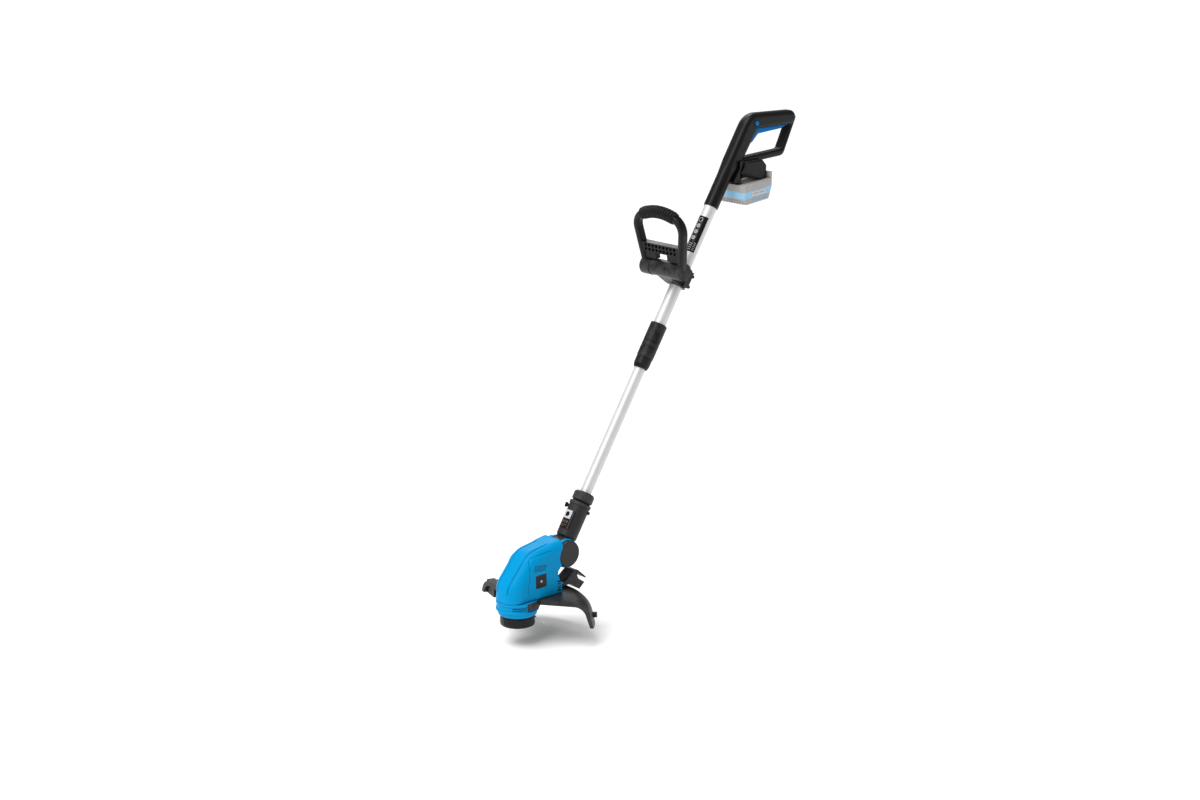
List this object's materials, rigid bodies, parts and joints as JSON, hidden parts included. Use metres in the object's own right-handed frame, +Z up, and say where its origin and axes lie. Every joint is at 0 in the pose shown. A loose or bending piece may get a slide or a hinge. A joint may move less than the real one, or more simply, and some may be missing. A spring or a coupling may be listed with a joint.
{
  "type": "string trimmer",
  "caption": "Cordless string trimmer: tilting motor head with guard and line spool, telescopic shaft, adjustable front handle, rear loop handle with trigger and slide-on battery.",
  "frame": {"origin": "centre of the underside of the bump button, where the standing tool touches the ground", "axes": "+Z up the spool axis, +X back towards the operator, +Y to the operator's right"},
  "size_m": [0.8471, 0.2852, 1.006],
  "materials": {
    "housing_blue": "satin moulded, fine grain",
    "black_plastic": "satin moulded, fine grain",
    "guard_black": "satin moulded",
    "trigger_blue": "satin moulded",
    "grip_rubber": "soft ribbed",
    "tube_aluminium": "satin anodised",
    "steel": "plain",
    "magnet": "dark",
    "fan_white": "plain",
    "label": "printed film, blank",
    "badge": "blank",
    "line_nylon": "extruded",
    "spool_plastic": "moulded",
    "pack_grey": "pale, satin",
    "pack_blue": "pale, satin",
    "board_green": "lacquered",
    "cell_wrap": "shrink wrap",
    "lead_black": "sheath"
  },
  "bodies": {
    "rear_handle": {"handle_near": "black_plastic", "handle_far": "black_plastic", "handle_screws": "steel", "upper_tube": "tube_aluminium", "lock_base": "black_plastic", "lock_collet": "black_plastic", "lead_coil": "lead_black", "clamp_front": "black_plastic", "clamp_rear": "black_plastic", "clamp_bolts": "steel", "main_switch": "black_plastic", "control_board": "board_green", "terminal_block": "black_plastic", "trigger_pin": "steel", "trigger_spring": "steel"},
    "trigger_lever": {"trigger": "trigger_blue"},
    "lock_off": {"lock_off_button": "black_plastic"},
    "battery": {"battery_top": "pack_grey", "battery_band": "pack_blue", "battery_base": "pack_grey", "battery_cells": "cell_wrap"},
    "battery_release": {"battery_latch": "pack_grey"},
    "front_handle": {"bail_frame": "black_plastic", "bail_grip": "grip_rubber", "hinge_bolt": "steel"},
    "twist_collar": {"lock_collar": "black_plastic"},
    "lower_shaft": {"lower_tube": "tube_aluminium", "slide_bush": "black_plastic", "swivel_bush": "black_plastic", "lead_lower": "lead_black"},
    "nut": {"swivel_nut": "black_plastic"},
    "neck_sleeve": {"neck": "black_plastic", "neck_label": "label"},
    "latch_pin": {"swivel_latch": "black_plastic"},
    "head": {"housing_near": "housing_blue", "housing_far": "housing_blue", "housing_screws": "steel", "badge_plates": "badge", "pivot_caps": "black_plastic", "tilt_pin": "steel", "shroud_ring": "housing_blue", "motor_can": "steel", "motor_magnets": "magnet", "motor_bearings": "steel", "guard": "guard_black", "guard_screws": "steel", "line_cutter": "steel", "cutter_screws": "steel", "pedal_pin": "steel"},
    "pedal": {"tilt_pedal": "black_plastic"},
    "drive": {"motor_rotor": "steel", "cooling_fan": "fan_white", "spool_hub": "black_plastic", "spool_cap": "black_plastic", "line_eyelet": "steel", "cutting_line": "line_nylon", "spool_spring": "steel"},
    "spool": {"line_spool": "spool_plastic", "line_winding": "line_nylon", "bump_button": "black_plastic"}
  },
  "joints": [
    {"name": "trigger_squeeze", "type": "hinge", "parent": "rear_handle", "child": "trigger_lever", "pos_m": [0.76906, 0, 0.97577], "axis": [0, 1, 0], "range_deg": [0, 4.5], "stiffness_Nm_per_rad": 0.9, "springref_deg": -20.05, "deforming": ["trigger_spring"]},
    {"name": "lock_off_press", "type": "slide", "parent": "rear_handle", "child": "lock_off", "axis": [0, 1, 0], "range_m": [0, 0.003], "stiffness_N_per_m": 700, "springref_m": -0.002},
    {"name": "battery_slide", "type": "slide", "parent": "rear_handle", "child": "battery", "axis": [0.9945, 0, 0.1045], "range_m": [0, 0.09]},
    {"name": "battery_release_press", "type": "slide", "parent": "battery", "child": "battery_release", "axis": [-0.9945, 0, -0.1045], "range_m": [0, 0.0025], "stiffness_N_per_m": 700, "springref_m": -0.002},
    {"name": "front_handle_tilt", "type": "hinge", "parent": "rear_handle", "child": "front_handle", "pos_m": [0.41725, 0, 0.69864], "axis": [0, 1, 0], "range_deg": [-50, 35]},
    {"name": "telescope_lock_turn", "type": "hinge", "parent": "rear_handle", "child": "twist_collar", "pos_m": [0.38128, 0, 0.54726], "axis": [0.5373, 0, 0.8434], "range_deg": [0, 60]},
    {"name": "telescope_slide", "type": "slide", "parent": "rear_handle", "child": "lower_shaft", "axis": [0.5373, 0, 0.8434], "range_m": [0, 0.25]},
    {"name": "swivel_nut_turn", "type": "hinge", "parent": "lower_shaft", "child": "nut", "pos_m": [0.18355, 0, 0.23689], "axis": [0.5373, 0, 0.8434], "range_deg": [-90, 90]},
    {"name": "head_swivel", "type": "hinge", "parent": "lower_shaft", "child": "neck_sleeve", "pos_m": [0.118, 0, 0.134], "axis": [0.5373, 0, 0.8434], "range_deg": [0, 180]},
    {"name": "swivel_latch_pull", "type": "slide", "parent": "neck_sleeve", "child": "latch_pin", "axis": [-0.5308, 0.7771, 0.3381], "range_m": [0, 0.004], "stiffness_N_per_m": 700, "springref_m": -0.002},
    {"name": "head_tilt", "type": "hinge", "parent": "neck_sleeve", "child": "head", "pos_m": [0.118, 0, 0.134], "axis": [0, 1, 0], "range_deg": [-60, 0]},
    {"name": "pedal_press", "type": "hinge", "parent": "head", "child": "pedal", "pos_m": [0.099, 0, 0.0625], "axis": [0, 1, 0], "range_deg": [0, 4], "stiffness_Nm_per_rad": 2, "springref_deg": -11.46},
    {"name": "spool_spin", "type": "hinge", "parent": "head", "child": "drive", "pos_m": [0, 0, 0.03], "axis": [0, 0, 1], "continuous": true},
    {"name": "bump_feed", "type": "slide", "parent": "drive", "child": "spool", "axis": [0, 0, 1], "range_m": [0, 0.004], "stiffness_N_per_m": 1500, "springref_m": -0.003, "deforming": ["spool_spring"]}
  ]
}
